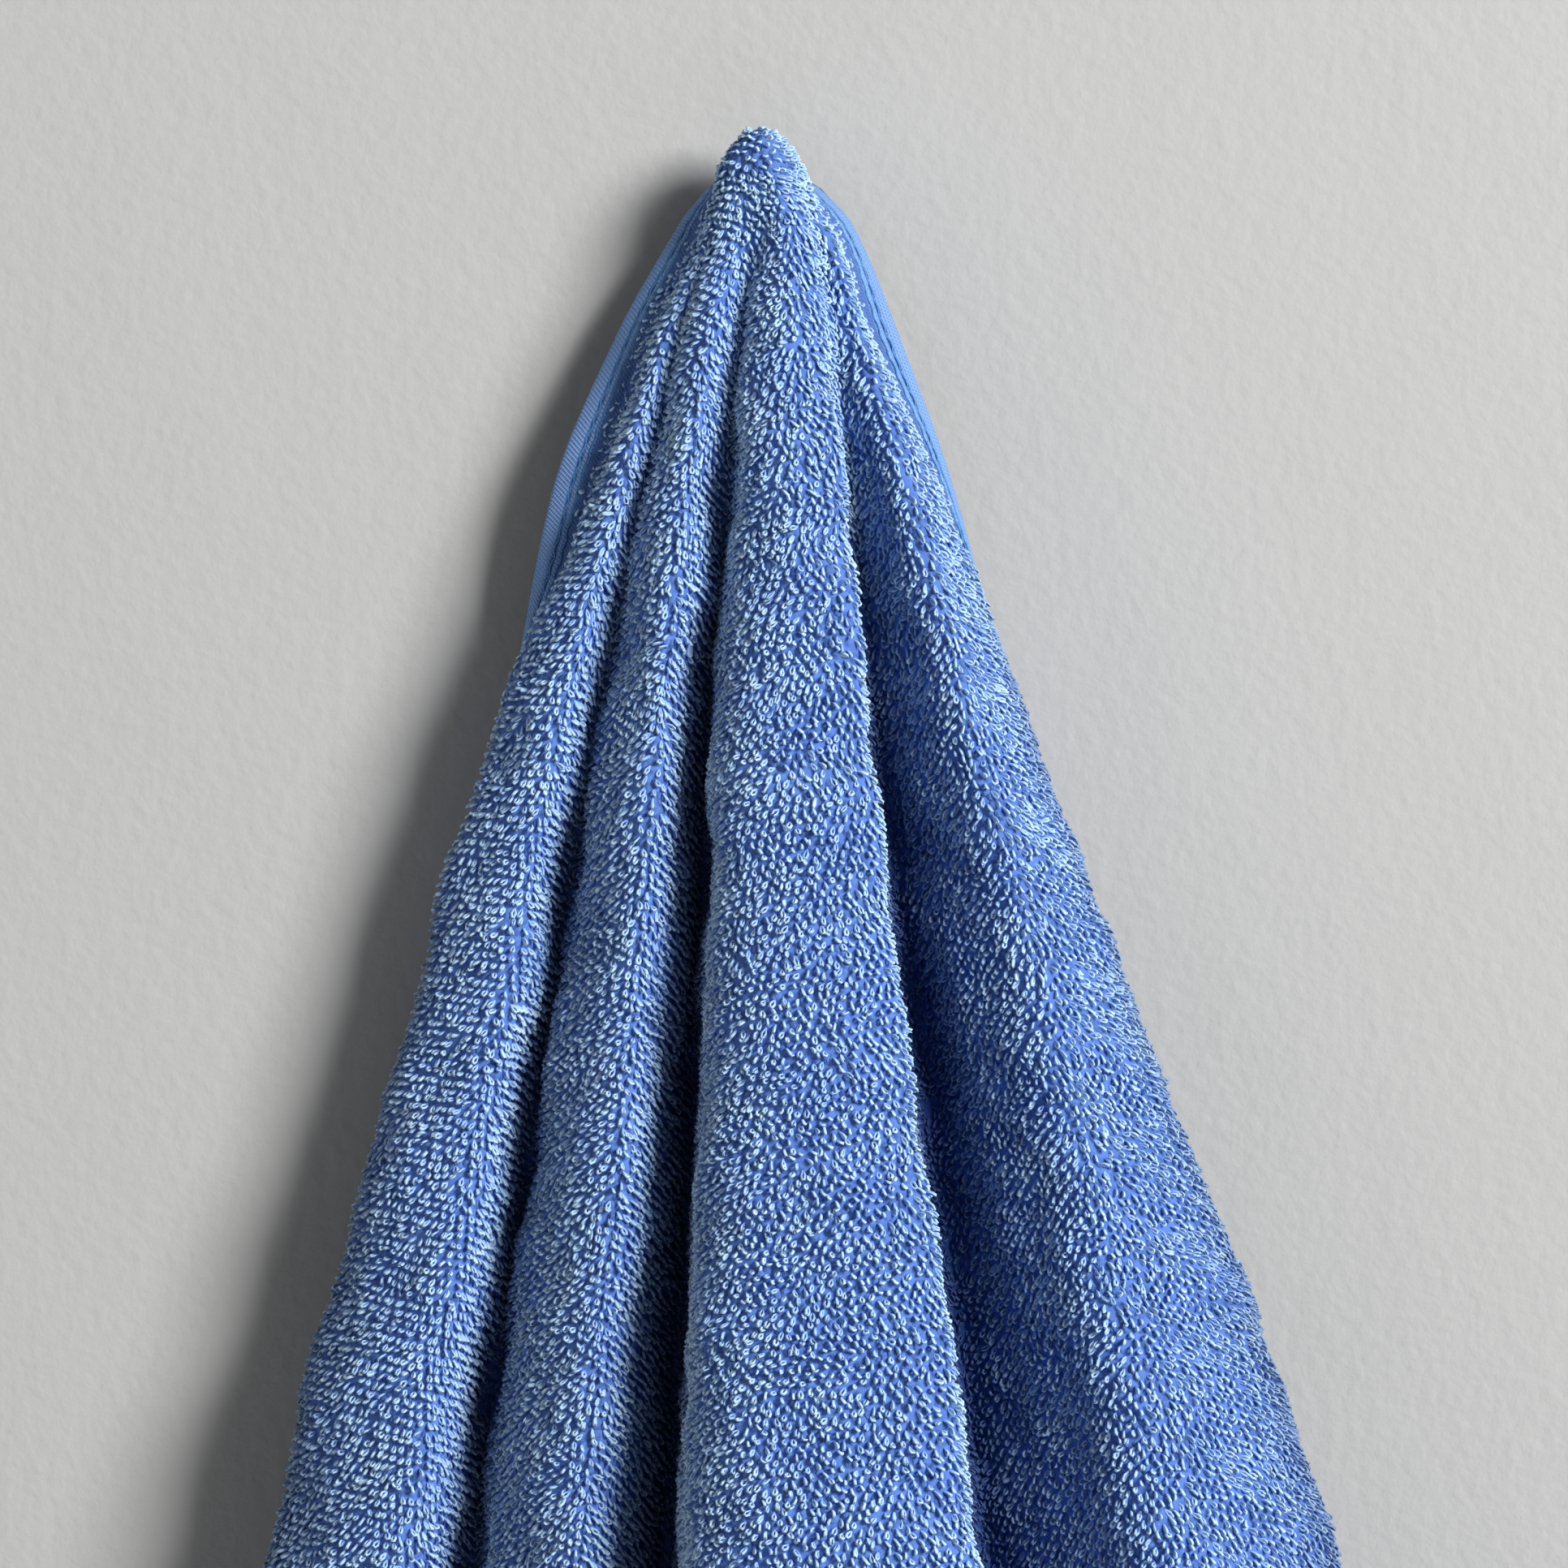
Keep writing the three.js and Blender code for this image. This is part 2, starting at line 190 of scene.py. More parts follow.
# A fold line's x and y at a level: above the first level it shrinks to the highest point
def foldPlace(fold, level):
    low = np.maximum(level, levels[0])
    spread = np.sqrt(np.clip(level / levels[0], 0, 1))
    x = alongLevels(foldX, slopeX, fold, low)
    out = alongLevels(foldOut, slopeOut, fold, low)
    x = drape["capX"] + (x - drape["capX"]) * spread
    out = drape["capOut"] + (out - drape["capOut"]) * spread
    return np.stack([x, -out], -1)


# The cloth's middle at a level and a share of the way from the left hem to the right hem: a smooth
# curve through the fold lines, whose pace follows the square root of their spacing
def drapePoint(level, share):
    level, share = np.broadcast_arrays(np.asarray(level, float), np.asarray(share, float))
    along = share * (foldCount - 1)
    span = np.clip(np.floor(along).astype(int), 0, foldCount - 2)
    t = (along - span)[..., None]
    first, second = foldPlace(span, level), foldPlace(span + 1, level)
    before = foldPlace(np.maximum(span - 1, 0), level)
    before = np.where((span == 0)[..., None], 2 * first - second, before)
    after = foldPlace(np.minimum(span + 2, foldCount - 1), level)
    after = np.where((span == foldCount - 2)[..., None], 2 * second - first, after)

    def pace(start, end):
        return np.maximum(((end - start) ** 2).sum(-1, keepdims=True) ** 0.25, 1e-4)

    paceIn, paceHere, paceOut = pace(before, first), pace(first, second), pace(second, after)
    here = (second - first) / paceHere
    leave = (first - before) / paceIn - (second - before) / (paceIn + paceHere) + here
    arrive = here - (after - first) / (paceHere + paceOut) + (after - second) / paceOut
    leave, arrive = leave * paceHere, arrive * paceHere
    bend = 3 * (second - first) - 2 * leave - arrive
    twist = 2 * (first - second) + leave + arrive
    plan = first + leave * t + bend * t**2 + twist * t**3
    return np.concatenate([plan, (drape["hangHeight"] - level)[..., None]], -1)


# The flat cloth is measured by radius, the length of cloth from the highest point, and turn, the angle
# from the line that halves the corner. This map gives the level and the share of the width for both.
flatMap = {"fineTo": 40, "fineStep": 1.0, "to": 262, "step": 2.0, "columnsPerFold": 24}
mapLevels = np.concatenate([
    np.arange(levels[0], flatMap["fineTo"], flatMap["fineStep"]),
    np.arange(flatMap["fineTo"], flatMap["to"], flatMap["step"]),
])
mapShares = np.linspace(0, 1, (foldCount - 1) * flatMap["columnsPerFold"] + 1)
mapPoints = drapePoint(mapLevels[:, None], mapShares[None])
mapSteps = np.linalg.norm(np.diff(mapPoints, axis=0), axis=2).mean(1)
mapRadius = drape["capLength"] + np.concatenate([[0], np.cumsum(mapSteps)])
mapArcs = np.zeros(mapPoints.shape[:2])
mapArcs[:, 1:] = np.cumsum(np.linalg.norm(np.diff(mapPoints, axis=1), axis=2), 1)
mapArcs /= mapArcs[:, -1:]


# The turn of the hems at a radius: they pass the highest point at the catch inset
def hemTurn(radius):
    return math.pi / 4 + np.arcsin(np.clip(drape["catchInset"] / np.maximum(radius, 1e-6), 0, 1))


def levelAt(radius):
    cap = levels[0] * np.clip(radius / drape["capLength"], 0, 1) ** 2
    return np.where(radius < drape["capLength"], cap, np.interp(radius, mapRadius, mapLevels))


def shareAt(radius, turn):
    shape = np.broadcast(radius, turn).shape
    radius, turn = np.broadcast_to(radius, shape).ravel(), np.broadcast_to(turn, shape).ravel()
    part = np.clip(0.5 + turn / (2 * hemTurn(radius)), 0, 1)
    row = np.interp(radius, mapRadius, np.arange(len(mapRadius)))
    low = np.clip(np.floor(row).astype(int), 0, len(mapRadius) - 2)
    mix = row - low
    share = np.zeros(len(part))
    for index in np.unique(low):
        chosen = low == index
        upper = np.interp(part[chosen], mapArcs[index], mapShares)
        lower = np.interp(part[chosen], mapArcs[index + 1], mapShares)
        share[chosen] = upper + (lower - upper) * mix[chosen]
    return share.reshape(shape)


def smoothStep(start, end, value):
    t = np.clip((value - start) / (end - start), 0, 1)
    return t * t * (3 - 2 * t)


# How deep a place lies between the ridges beside it, from 0 on a ridge to 1 in a deep crease. The cotton's
# colour is painted darker there, as painted shade in the creases. The reach is in columns of the map.
creaseShading = {"reach": 30, "range": (0.16, 0.6)}
mapOuts = -mapPoints[..., 1]
aroundOuts = np.pad(mapOuts, ((0, 0), (creaseShading["reach"], creaseShading["reach"])), "edge")
ridgeOuts = np.lib.stride_tricks.sliding_window_view(aroundOuts, 2 * creaseShading["reach"] + 1, axis=1).max(-1)
mapCreaseShading = smoothStep(*creaseShading["range"], 1 - mapOuts / ridgeOuts)


def creaseShadingAt(level, share):
    level, share = np.broadcast_arrays(level, share)
    row = np.rint(np.interp(level, mapLevels, np.arange(len(mapLevels)))).astype(int)
    column = np.rint(share * (len(mapShares) - 1)).astype(int)
    return mapCreaseShading[row, column]


# Distance along both hems of a place in the flat cloth, and its distance in from the nearer hem
def flatPlace(radius, turn):
    return radius * np.cos(turn + math.pi / 4), radius * np.sin(turn + math.pi / 4)


def hemDistance(radius, turn):
    acrossRight, acrossLeft = flatPlace(radius, turn)
    return np.minimum(acrossRight, acrossLeft) + drape["catchInset"]


waveField = {"count": 7, "lengths": (0.7, 1.5)}


# Smooth noise over the flat cloth from a few waves of about one size
def waves(seed, size, along, across):
    source = np.random.default_rng(seed)
    total = np.zeros(np.broadcast(along, across).shape)
    for _ in range(waveField["count"]):
        heading, start = source.uniform(0, 2 * math.pi, 2)
        length = size * source.uniform(*waveField["lengths"])
        path = along * math.cos(heading) + across * math.sin(heading)
        total = total + np.sin(2 * math.pi * path / length + start)
    return total / math.sqrt(waveField["count"] / 2)


# Slight unevenness of the hung cloth, outwards from its smooth folds
unevenness = {
    "seed": 3,
    "size": 26,
    "height": 0.34,
    "fineSeed": 4,
    "fineSize": 9,
    "fineHeight": 0.13,
    "fadeIn": (12, 60),
}


def swell(radius, turn):
    along, across = flatPlace(radius, turn)
    broad = waves(unevenness["seed"], unevenness["size"], along, across) * unevenness["height"]
    fine = waves(unevenness["fineSeed"], unevenness["fineSize"], along, across)
    fine = fine * unevenness["fineHeight"]
    return (broad + fine) * smoothStep(*unevenness["fadeIn"], radius)


def unit(vectors):
    return vectors / np.maximum(np.linalg.norm(vectors, axis=-1, keepdims=True), 1e-12)


# Steps in level and in share over which the drape's directions are measured
probe = {"level": 0.05, "perLevel": 0.002, "share": 0.002, "highest": 0.01}


# Point, outward direction, downward direction and sideways direction of the smooth drape
def surfaceAt(radius, turn):
    level, share = levelAt(radius), shareAt(radius, turn)
    point = drapePoint(level, share)
    rise = probe["level"] + probe["perLevel"] * level
    above = np.maximum(level - rise, probe["highest"])
    down = drapePoint(level + rise, share) - drapePoint(above, share)
    right, left = np.minimum(share + probe["share"], 1), np.maximum(share - probe["share"], 0)
    side = drapePoint(level, right) - drapePoint(level, left)
    out = unit(np.cross(down, side))
    down = unit(down)
    return point, out, down, np.cross(out, down)


# Mesh from points in millimetres and faces that all have the same number of corners
def makeMesh(name, points, faces, numbers=None, smooth=True):
    faces = np.asarray(faces)
    mesh = bpy.data.meshes.new(name)
    mesh.vertices.add(len(points))
    mesh.vertices.foreach_set("co", (np.asarray(points) * mm).astype(np.float32).ravel())
    mesh.loops.add(faces.size)
    mesh.loops.foreach_set("vertex_index", faces.astype(np.int32).ravel())
    mesh.polygons.add(len(faces))
    mesh.polygons.foreach_set("loop_start", np.arange(0, faces.size, faces.shape[1], dtype=np.int32))
    mesh.update(calc_edges=True)
    mesh.polygons.foreach_set("use_smooth", np.full(len(faces), smooth))
    for key, values in (numbers or {}).items():
        values = np.asarray(values, np.float32)
        kind, part = ("FLOAT_VECTOR", "vector") if values.ndim == 2 else ("FLOAT", "value")
        field = mesh.attributes.new(key, kind, "POINT")
        field.data.foreach_set(part, values.ravel())
    mesh.validate()
    piece = bpy.data.objects.new(name, mesh)
    bpy.context.scene.collection.objects.link(piece)
    return piece


# Node building: a Wire is one output socket, and arithmetic on it adds Math nodes
class Wire:
    def __init__(self, finish, socket):
        self.finish = finish
        self.socket = socket

    def maths(self, operation, first, second):
        return self.finish.node("ShaderNodeMath", {"operation": operation}, {0: first, 1: second})

    def __add__(self, other):
        return self.maths("ADD", self, other)

    def __radd__(self, other):
        return self.maths("ADD", other, self)

    def __sub__(self, other):
        return self.maths("SUBTRACT", self, other)

    def __rsub__(self, other):
        return self.maths("SUBTRACT", other, self)

    def __mul__(self, other):
        return self.maths("MULTIPLY", self, other)

    def __rmul__(self, other):
        return self.maths("MULTIPLY", other, self)

    def sine(self):
        return self.maths("SINE", self, 0.0)


class Finish:
    def __init__(self, name):
        self.material = bpy.data.materials.new(name)
        self.material.use_nodes = True
        self.tree = self.material.node_tree
        self.tree.nodes.clear()

    def node(self, kind, settings=None, inputs=None, output=0):
        node = self.tree.nodes.new(kind)
        for key, value in (settings or {}).items():
            setattr(node, key, value)
        for key, value in (inputs or {}).items():
            if isinstance(value, Wire):
                self.tree.links.new(value.socket, node.inputs[key])
            else:
                node.inputs[key].default_value = value
        return Wire(self, node.outputs[output]) if node.outputs else None

    def number(self, name):
        return self.node("ShaderNodeAttribute", {"attribute_name": name}, output="Fac")

    def place(self, name):
        return self.node("ShaderNodeAttribute", {"attribute_name": name}, output="Vector")

    def where(self):
        return self.node("ShaderNodeTexCoord", output="Object")

    # The first two numbers of a vector, as two wires
    def split(self, vector):
        first = self.node("ShaderNodeSeparateXYZ", None, {0: vector})
        return first, Wire(self, first.socket.node.outputs[1])

    def noise(self, vector, scale, detail):
        return self.node("ShaderNodeTexNoise", None, {"Vector": vector, "Scale": scale, "Detail": detail})

    def mix(self, factor, first, second):
        return self.node(
            "ShaderNodeMix",
            {"data_type": "RGBA"},
            {0: factor, 6: first, 7: second},
            output=2,
        )

    def limits(self, value, low, high, toLow=0.0, toHigh=1.0):
        return self.node(
            "ShaderNodeMapRange",
            {"interpolation_type": "SMOOTHSTEP"},
            {0: value, 1: low, 2: high, 3: toLow, 4: toHigh},
        )

    def bump(self, height, distance, strength):
        return self.node(
            "ShaderNodeBump",
            None,
            {"Height": height, "Distance": distance, "Strength": strength},
        )

    def surface(self, **inputs):
        names = {key.replace("_", " "): value for key, value in inputs.items()}
        shader = self.node("ShaderNodeBsdfPrincipled", None, names)
        self.node("ShaderNodeOutputMaterial", None, {"Surface": shader})
        return self.material


cotton = {
    "deep": (0.21, 0.41, 0.86, 1),
    "pale": (0.62, 0.84, 1.0, 1),
    "tipHighlightShare": 0.6,
    "toneShare": 0.4,
    # painted shade: the dark colour of the cloth under and between the loops
    "ground": (0.11, 0.22, 0.60, 1),
    # painted shade: the dark colour the cotton is mixed towards in the creases
    "creaseShade": (0.02, 0.06, 0.26, 1),
    "creaseShadeShare": 0.9,
    "thread": (0.10, 0.36, 0.70, 1),
    "threadDeep": (0.03, 0.14, 0.40, 1),
    "hem": (0.32, 0.54, 0.96, 1),
    "hemDeep": (0.05, 0.12, 0.40, 1),
    "roughness": 0.95,
    "shine": 0.2,
}


# Yarn of the loops: painted highlight towards the tips and painted shade towards the roots, painted shade
# in the creases, a little different from loop to loop
def yarnFinish():
    finish = Finish("cotton yarn")
    # painted shade at the roots and painted highlight at the tips of the loops, mixed with each loop's own
    # tone
    light = finish.number("tipHighlight") * cotton["tipHighlightShare"] + finish.number("tone") * cotton["toneShare"]
    colour = finish.mix(light, cotton["deep"], cotton["pale"])
    # painted shade in the creases: the yarn is mixed towards a dark colour where the cloth lies deep
    # between ridges
    colour = finish.mix(finish.number("creaseShade") * cotton["creaseShadeShare"], colour, cotton["creaseShade"])
    return finish.surface(
        Base_Color=colour,
        Roughness=cotton["roughness"],
        Specular_IOR_Level=cotton["shine"],
    )


# Widths and distances from the hem's edge are in millimetres, and pairs are where a change starts and ends
hemWeave = {
    "pitch": 0.66,
    "ribPitch": 0.72,
    "ribsAcross": 5.0,
    "seamFrom": (2.8, 3.25),
    "seamTo": (3.6, 4.0),
    "stitch": 3.2,
    # painted shade in the recess between the hem strip and the pile: where it starts and ends, and how
    # much darker it is
    "recessShadeFrom": (4.3, 5.6),
    "recessShade": 0.75,
    "terryFrom": (6.2, 8.2),
    "weaveLight": 0.5,
    "grainLight": 0.3,
    "leastLight": 0.28,
    "seamShade": 0.35,
    "holeShade": 0.5,
    "relief": 0.3,
}
lowPile = {
    "grainScale": 2.4,
    "grainDetail": 2.0,
    "clumpScale": 0.66,
    "clumpScatter": 0.9,
    "clumpEdge": (0.15, 0.75),
    "clumpLight": 0.55,
    "grainLight": 0.6,
    "paleShare": 0.7,
    "bumpDistance": 0.0011,
    "bumpStrength": 0.9,
}


# The cloth itself: woven at the hems, painted dark under the loops as painted shade, pile-like relief
# everywhere else with painted shade in its gaps, and painted shade in the creases
def clothFinish():
    finish = Finish("towel cloth")
    flat = finish.place("flat")
    edge = finish.number("edge")
    pile = finish.number("pile")
    along, across = finish.split(flat)
    checkTurns = 2 * math.pi / hemWeave["pitch"]
    checks = (along * checkTurns).sine() * (across * checkTurns).sine() * 0.5 + 0.5
    ribs = (edge * (2 * math.pi / hemWeave["ribPitch"])).sine() * 0.5 + 0.5
    onRight = finish.limits(across - along, -hemWeave["ribsAcross"], hemWeave["ribsAcross"])
    weave = checks * (1 - onRight * 0.5) + ribs * onRight * 0.5
    seam = finish.limits(edge, *hemWeave["seamFrom"])
    seam = seam * finish.limits(edge, *hemWeave["seamTo"], 1.0, 0.0)
    holes = ((along + across) * (2 * math.pi / hemWeave["stitch"])).sine() * 0.5 + 0.5
    inTerry = finish.limits(edge, *hemWeave["terryFrom"])
    grain = finish.noise(flat, lowPile["grainScale"], lowPile["grainDetail"])
    clumps = finish.node(
        "ShaderNodeTexVoronoi",
        {"feature": "F1"},
        {"Vector": flat, "Scale": lowPile["clumpScale"], "Randomness": lowPile["clumpScatter"]},
    )
    loopy = finish.limits(clumps, *lowPile["clumpEdge"], 1.0, 0.0)
    loopy = loopy * (lowPile["clumpLight"] + grain * lowPile["grainLight"])
    hemLight = weave * hemWeave["weaveLight"] + grain * hemWeave["grainLight"] + hemWeave["leastLight"]
    hemLight = hemLight * (1 - seam * (hemWeave["seamShade"] + holes * hemWeave["holeShade"]))
    # painted shade in the recess between the hem strip and the pile
    recessShade = 1 - finish.limits(edge, *hemWeave["recessShadeFrom"]) * hemWeave["recessShade"]
    hemTone = finish.mix(hemLight * recessShade, cotton["hemDeep"], cotton["hem"])
    # painted shade between the loops of the low pile: its gaps are mixed towards the dark ground colour
    loopTone = finish.mix(loopy * lowPile["paleShare"], cotton["ground"], cotton["pale"])
    # under the loops the sheet is painted the dark ground colour, as painted shade
    terry = finish.mix(pile, loopTone, cotton["ground"])
    # painted shade in the creases: the cloth is mixed towards a dark colour where it lies deep between
    # ridges
    terry = finish.mix(finish.number("creaseShade") * cotton["creaseShadeShare"], terry, cotton["creaseShade"])
    hemHeight = weave * hemWeave["relief"] - seam * holes * hemWeave["relief"]
    height = inTerry * loopy + (1 - inTerry) * hemHeight
    return finish.surface(
        Base_Color=finish.mix(inTerry, hemTone, terry),
        Roughness=cotton["roughness"],
        Specular_IOR_Level=cotton["shine"],
        Normal=finish.bump(height, lowPile["bumpDistance"], lowPile["bumpStrength"]),
    )


hemThread = {
    "strandScale": 4200.0,
    "strandDetail": 2.0,
    "roughness": 0.8,
    "sheen": 0.2,
    "sheenRoughness": 0.4,
    "bumpDistance": 0.0001,
    "bumpStrength": 0.6,
}


def threadFinish():
    finish = Finish("hem thread")
    strands = finish.noise(finish.where(), hemThread["strandScale"], hemThread["strandDetail"])
    return finish.surface(
        Base_Color=finish.mix(strands, cotton["threadDeep"], cotton["thread"]),
        Roughness=hemThread["roughness"],
        Sheen_Weight=hemThread["sheen"],
        Sheen_Roughness=hemThread["sheenRoughness"],
        Normal=finish.bump(strands, hemThread["bumpDistance"], hemThread["bumpStrength"]),
    )


brushedSteel = {
    "dark": (0.50, 0.50, 0.49, 1),
    "light": (0.66, 0.66, 0.65, 1),
    "stretch": (60.0, 900.0, 900.0),
    "lineScale": 6.0,
    "lineDetail": 4.0,
    "markScale": 90.0,
    "markDetail": 3.0,
    "roughness": 0.24,
    "lineRoughness": 0.22,
    "bumpDistance": 0.00004,
    "bumpStrength": 0.5,
}


def metalFinish():
    finish = Finish("brushed steel")
    where = finish.where()
    stretched = finish.node("ShaderNodeMapping", None, {"Vector": where, "Scale": brushedSteel["stretch"]})
    lines = finish.noise(stretched, brushedSteel["lineScale"], brushedSteel["lineDetail"])
    marks = finish.noise(where, brushedSteel["markScale"], brushedSteel["markDetail"])
    return finish.surface(
        Base_Color=finish.mix(marks, brushedSteel["dark"], brushedSteel["light"]),
        Metallic=1.0,
        Roughness=brushedSteel["roughness"] + lines * brushedSteel["lineRoughness"],
        Normal=finish.bump(lines, brushedSteel["bumpDistance"], brushedSteel["bumpStrength"]),
    )


# The sheet: rows of equal radius, with its hems' fold, seam and strip in the columns near both edges.
# Under the pile the cloth lies behind the smooth drape, so that the loops end where the solid does.
# Below the last level its rows are shares of the cloth that is left, and the far hem has its own rows.
sheet = {
    "hemColumns": [0, 0.25, 0.7, 1.4, 2.2, 2.8, 3.15, 3.45, 3.8, 4.3, 4.7, 5.05, 5.6, 6.6, 8, 9.6],
    "innerColumns": 124,
    "flapColumns": 22,
    "capRadii": [0.7, 1.5, 2.4, 3.4, 4.5, 5.6, 6.8, 8, 9, 10.2, 11.5],
    "rowStep": 1.9,
    "firstRow": 12.8,
    "lastLevel": 222,
    "lowerRows": 30,
    "lowerLength": 470,
    "lowerPart": 0.965,
    "farHemRows": [12, 9, 7, 5.6, 5.05, 4.7, 4.3, 3.8, 3.45, 3.15, 2.8, 2.2, 1.4, 0.7, 0.25, 0],
    "deepestLevel": 900,
    "levelStep": 4.0,
    "pileDepth": 0.4,
    "groundHalf": 0.42,
    "terryHalf": 1.25,
    "terryHalfFrom": (5.6, 8.6),
    "topRadius": 12,
    "topThinning": 0.9,
    "swellFrom": (0, 12),
    "pileFrom": (5.6, 8.2),
    "pileTo": (242, 266),
    "backGrain": (0, 0, 40),
}


# Half the cloth's thickness across a hem: a rounded edge, two seams and a flat strip
hemProfile = {
    "distances": [0, 0.12, 0.45, 1.0, 2.0, 2.9, 3.4, 3.9, 4.4, 4.8, 5.3, 7],
    "halves": [0.1, 0.5, 0.8, 0.92, 0.95, 0.86, 0.52, 0.78, 0.74, 0.5, 0.62, 0.55],
}


def hemHalf(distance):
    return np.interp(distance, hemProfile["distances"], hemProfile["halves"])


def pileShare(edge, radius):
    return smoothStep(*sheet["pileFrom"], edge) * (1 - smoothStep(*sheet["pileTo"], radius))


def columnTurns(radius):
    hems = np.array(sheet["hemColumns"], float)
    inset = np.clip((hems[None] - drape["catchInset"]) / radius[:, None], -1, 1)
    left = np.arcsin(inset) - math.pi / 4
    spread = np.linspace(-1, 1, sheet["innerColumns"] + 2)[1:-1]
    return np.concatenate([left, -left[:, -1:] * spread, -left[:, ::-1]], 1)


# Length of cloth from the highest point to its far edges, in a direction of the flat cloth
def reachAt(turn):
    fromLong = math.pi / 4 - turn
    alongLong = (drape["longSide"] - drape["catchInset"]) / np.maximum(np.cos(fromLong), 1e-6)
    alongShort = (drape["shortSide"] - drape["catchInset"]) / np.maximum(np.sin(fromLong), 1e-6)
    return np.minimum(alongLong, alongShort)


# Levels of the rows below the last level, where each column ends when its cloth is used up
def lowerLevels(share, remaining):
    steps = np.arange(levels[0], sheet["deepestLevel"], sheet["levelStep"])
    columns = drapePoint(steps[:, None], share[None])
    used = np.zeros((len(steps), len(share)))
    used[1:] = np.cumsum(np.linalg.norm(np.diff(columns, axis=0), axis=2), 0)
    used += drape["capLength"]
    angle = np.interp(share * (foldCount - 1), np.arange(foldCount), foldAngles)
    reach = reachAt(np.radians(angle))
    rows = []
    for column in range(len(share)):
        start = np.interp(sheet["lastLevel"], steps, used[:, column])
        wanted = start + (reach[column] - start) * remaining
        rows.append(np.interp(wanted, used[:, column], steps))
    return np.array(rows).T


def sheetRows():
    lastRadius = float(np.interp(sheet["lastLevel"], mapLevels, mapRadius))
    count = int(round((lastRadius - sheet["firstRow"]) / sheet["rowStep"]))
    radii = np.concatenate([sheet["capRadii"], np.linspace(sheet["firstRow"], lastRadius, count)])
    turns = columnTurns(radii)
    radius = np.repeat(radii[:, None], turns.shape[1], 1)
    level, share = levelAt(radius), shareAt(radius, turns)
    edge = hemDistance(radius, turns)

    even = np.linspace(0, 1, sheet["lowerRows"] + 1)[1:] * sheet["lowerPart"]
    remaining = np.concatenate([even, 1 - np.array(sheet["farHemRows"]) / sheet["lowerLength"]])
    lowLevel = lowerLevels(share[-1], remaining)
    lowShare = np.repeat(share[-1:], len(remaining), 0)
    lowTurn = np.repeat(turns[-1:], len(remaining), 0)
    reach = reachAt(np.clip(turns[-1], -math.pi / 4, math.pi / 4))
    lowRadius = lastRadius + (reach - lastRadius)[None] * remaining[:, None]
    fromFar = (1 - remaining)[:, None] * sheet["lowerLength"]
    lowEdge = np.minimum(fromFar, edge[-1:])
    join = [
        (level, lowLevel),
        (share, lowShare),
        (radius, lowRadius),
        (turns, lowTurn),
        (edge, lowEdge),
    ]
    return [np.concatenate(pair, 0) for pair in join]


# The corner behind the hook, between the right and left ends of each of the first rows
def flapPoints(row, level):
    across = np.arange(1, sheet["flapColumns"]) / sheet["flapColumns"]
    turn = math.pi / 4 * (1 - np.abs(2 * across - 1))
    longer = (1 / np.cos(turn) - 1) / (math.sqrt(2) - 1)
    drop = drape["flapTip"] / drape["flapStart"] - 1
    points = row[-1] + (row[0] - row[-1]) * across[:, None]
    lowered = level * (1 + drop * longer)
    back = np.sqrt(np.minimum(lowered / levels[0], 1))
    target = -(drape["capOut"] + (drape["flapTipOut"] - drape["capOut"]) * back)
    points[:, 2] = drape["hangHeight"] - lowered
    points[:, 1] += (target - points[:, 1]) * longer
    return points, math.pi * (0.75 + 0.5 * across)


def pointNormals(points, triangles):
    corners = points[triangles]
    facing = np.cross(corners[:, 1] - corners[:, 0], corners[:, 2] - corners[:, 0])
    normals = np.zeros_like(points)
    for corner in range(3):
        for axis in range(3):
            normals[:, axis] += np.bincount(triangles[:, corner], facing[:, axis], len(points))
    return unit(normals)


